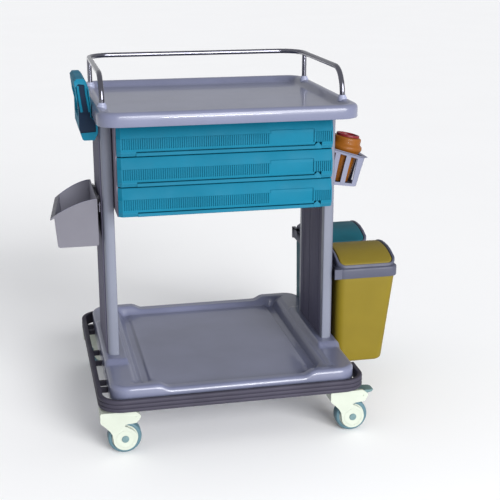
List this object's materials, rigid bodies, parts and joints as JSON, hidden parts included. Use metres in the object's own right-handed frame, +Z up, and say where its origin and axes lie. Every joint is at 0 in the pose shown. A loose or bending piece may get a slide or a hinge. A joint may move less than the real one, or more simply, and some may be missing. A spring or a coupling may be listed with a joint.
{
  "type": "medication cart",
  "caption": "Medication cart with a railed top tray, a drawer cabinet, a lower tray with a bumper, swivel casters, swing-lid waste bins, a storage bin, a sharps holder and a push handle",
  "frame": {"origin": "on the floor under the centre of the whole footprint, accessories included", "axes": "+X to the cart's right seen from the front, where the drawers open; +Y to its back; +Z up"},
  "size_m": [0.892, 0.65, 0.9013],
  "materials": {
    "abs_lavender": "glossy moulded plastic",
    "socket_grey": "satin moulded plastic",
    "rail_chrome": "polished tube",
    "aluminium_dark": "anodised extrusion",
    "column_cover": "satin moulded plastic",
    "steel_fastener": "zinc plated",
    "cabinet_dark": "powder coat",
    "bumper_rubber": "ribbed, dull",
    "teal_plastic": "glossy moulded plastic",
    "drawer_inner": "satin moulded plastic",
    "bin_yellow": "satin moulded plastic",
    "bin_yellow_lid": "satin moulded plastic",
    "bin_teal": "satin moulded plastic",
    "bin_frame_grey": "satin moulded plastic",
    "storage_grey": "satin moulded plastic",
    "basket_lavender": "satin moulded plastic",
    "sharps_orange": "glossy moulded plastic",
    "sharps_red": "glossy moulded plastic",
    "caster_cream": "glossy moulded plastic",
    "caster_tyre": "smooth polyurethane tread",
    "pedal_grey": "satin moulded plastic"
  },
  "bodies": {
    "cart_frame": {"top_tray": "abs_lavender", "rail_sockets": "socket_grey", "guard_rail": "rail_chrome", "column_right": "aluminium_dark", "column_left": "aluminium_dark", "column_covers": "column_cover", "column_bolts": "steel_fastener", "cabinet_shell": "cabinet_dark", "cabinet_screws": "steel_fastener", "drawer_runners": "steel_fastener", "base_tray": "abs_lavender", "bumper": "bumper_rubber", "bumper_brackets": "bumper_rubber", "push_handle": "teal_plastic", "handle_screws": "steel_fastener", "bin_bar": "steel_fastener", "storage_bar": "steel_fastener", "bar_screws": "steel_fastener", "sharps_basket": "basket_lavender", "sharps_bracket": "steel_fastener", "caster_stems": "steel_fastener"},
    "drawer_1": {"drawer_1_box": "drawer_inner", "drawer_1_slides": "steel_fastener", "drawer_1_front": "teal_plastic"},
    "drawer_2": {"drawer_2_box": "drawer_inner", "drawer_2_slides": "steel_fastener", "drawer_2_front": "teal_plastic"},
    "drawer_3": {"drawer_3_box": "drawer_inner", "drawer_3_slides": "steel_fastener", "drawer_3_front": "teal_plastic"},
    "yellow_bin": {"yellow_bin_bucket": "bin_yellow", "yellow_bin_frame": "bin_frame_grey"},
    "yellow_lid": {"yellow_bin_lid": "bin_yellow_lid"},
    "teal_bin": {"teal_bin_bucket": "bin_teal", "teal_bin_frame": "bin_frame_grey"},
    "teal_lid": {"teal_bin_lid": "bin_teal"},
    "storage_bin": {"storage_bin": "storage_grey"},
    "sharps_container": {"sharps_container": "sharps_orange"},
    "sharps_lid": {"sharps_lid": "sharps_red"},
    "caster_front_left": {"caster_front_left_fork": "caster_cream", "caster_front_left_axle": "pedal_grey"},
    "wheel_front_left": {"caster_front_left_wheel": "caster_cream", "caster_front_left_tyre": "caster_tyre"},
    "caster_front_right": {"caster_front_right_fork": "caster_cream", "caster_front_right_axle": "pedal_grey"},
    "wheel_front_right": {"caster_front_right_wheel": "caster_cream", "caster_front_right_tyre": "caster_tyre"},
    "pedal_front_right": {"caster_front_right_pedal": "pedal_grey"},
    "caster_rear_left": {"caster_rear_left_fork": "caster_cream", "caster_rear_left_axle": "pedal_grey"},
    "wheel_rear_left": {"caster_rear_left_wheel": "caster_cream", "caster_rear_left_tyre": "caster_tyre"},
    "pedal_rear_left": {"caster_rear_left_pedal": "pedal_grey"},
    "caster_rear_right": {"caster_rear_right_fork": "caster_cream", "caster_rear_right_axle": "pedal_grey"},
    "wheel_rear_right": {"caster_rear_right_wheel": "caster_cream", "caster_rear_right_tyre": "caster_tyre"}
  },
  "joints": [
    {"name": "drawer_1_slide", "type": "slide", "parent": "cart_frame", "child": "drawer_1", "axis": [0, -1, 0], "range_m": [0, 0.24]},
    {"name": "drawer_2_slide", "type": "slide", "parent": "cart_frame", "child": "drawer_2", "axis": [0, -1, 0], "range_m": [0, 0.24]},
    {"name": "drawer_3_slide", "type": "slide", "parent": "cart_frame", "child": "drawer_3", "axis": [0, -1, 0], "range_m": [0, 0.24]},
    {"name": "yellow_bin_lift", "type": "slide", "parent": "cart_frame", "child": "yellow_bin", "axis": [0, 0, 1], "range_m": [0, 0.1]},
    {"name": "yellow_lid_swing", "type": "hinge", "parent": "yellow_bin", "child": "yellow_lid", "pos_m": [0.3624, -0.021, 0.394], "axis": [1, 0, 0], "range_deg": [-25, 25]},
    {"name": "teal_bin_lift", "type": "slide", "parent": "cart_frame", "child": "teal_bin", "axis": [0, 0, 1], "range_m": [0, 0.1]},
    {"name": "teal_lid_swing", "type": "hinge", "parent": "teal_bin", "child": "teal_lid", "pos_m": [0.3624, 0.214, 0.386], "axis": [1, 0, 0], "range_deg": [-25, 25]},
    {"name": "storage_bin_lift", "type": "slide", "parent": "cart_frame", "child": "storage_bin", "axis": [0, 0, 1], "range_m": [0, 0.1]},
    {"name": "sharps_lift", "type": "slide", "parent": "cart_frame", "child": "sharps_container", "axis": [0.2079, 0, 0.9781], "range_m": [0, 0.12]},
    {"name": "sharps_lid_turn", "type": "hinge", "parent": "sharps_container", "child": "sharps_lid", "pos_m": [0.33366, -0.008, 0.70236], "axis": [0.2079, 0, 0.9781], "range_deg": [0, 120]},
    {"name": "swivel_front_left", "type": "hinge", "parent": "cart_frame", "child": "caster_front_left", "pos_m": [-0.311, -0.281, 0.1], "axis": [0, 0, 1], "continuous": true},
    {"name": "roll_front_left", "type": "hinge", "parent": "caster_front_left", "child": "wheel_front_left", "pos_m": [-0.301, -0.281, 0.041], "axis": [0, 1, 0], "continuous": true},
    {"name": "swivel_front_right", "type": "hinge", "parent": "cart_frame", "child": "caster_front_right", "pos_m": [0.261, -0.281, 0.1], "axis": [0, 0, 1], "continuous": true},
    {"name": "roll_front_right", "type": "hinge", "parent": "caster_front_right", "child": "wheel_front_right", "pos_m": [0.271, -0.281, 0.041], "axis": [0, 1, 0], "continuous": true},
    {"name": "brake_front_right", "type": "hinge", "parent": "caster_front_right", "child": "pedal_front_right", "pos_m": [0.296, -0.281, 0.098], "axis": [0, 1, 0], "range_deg": [0, 10]},
    {"name": "swivel_rear_left", "type": "hinge", "parent": "cart_frame", "child": "caster_rear_left", "pos_m": [-0.311, 0.281, 0.1], "axis": [0, 0, 1], "continuous": true},
    {"name": "roll_rear_left", "type": "hinge", "parent": "caster_rear_left", "child": "wheel_rear_left", "pos_m": [-0.301, 0.281, 0.041], "axis": [0, 1, 0], "continuous": true},
    {"name": "brake_rear_left", "type": "hinge", "parent": "caster_rear_left", "child": "pedal_rear_left", "pos_m": [-0.276, 0.281, 0.098], "axis": [0, 1, 0], "range_deg": [0, 10]},
    {"name": "swivel_rear_right", "type": "hinge", "parent": "cart_frame", "child": "caster_rear_right", "pos_m": [0.261, 0.281, 0.1], "axis": [0, 0, 1], "continuous": true},
    {"name": "roll_rear_right", "type": "hinge", "parent": "caster_rear_right", "child": "wheel_rear_right", "pos_m": [0.271, 0.281, 0.041], "axis": [0, 1, 0], "continuous": true}
  ]
}
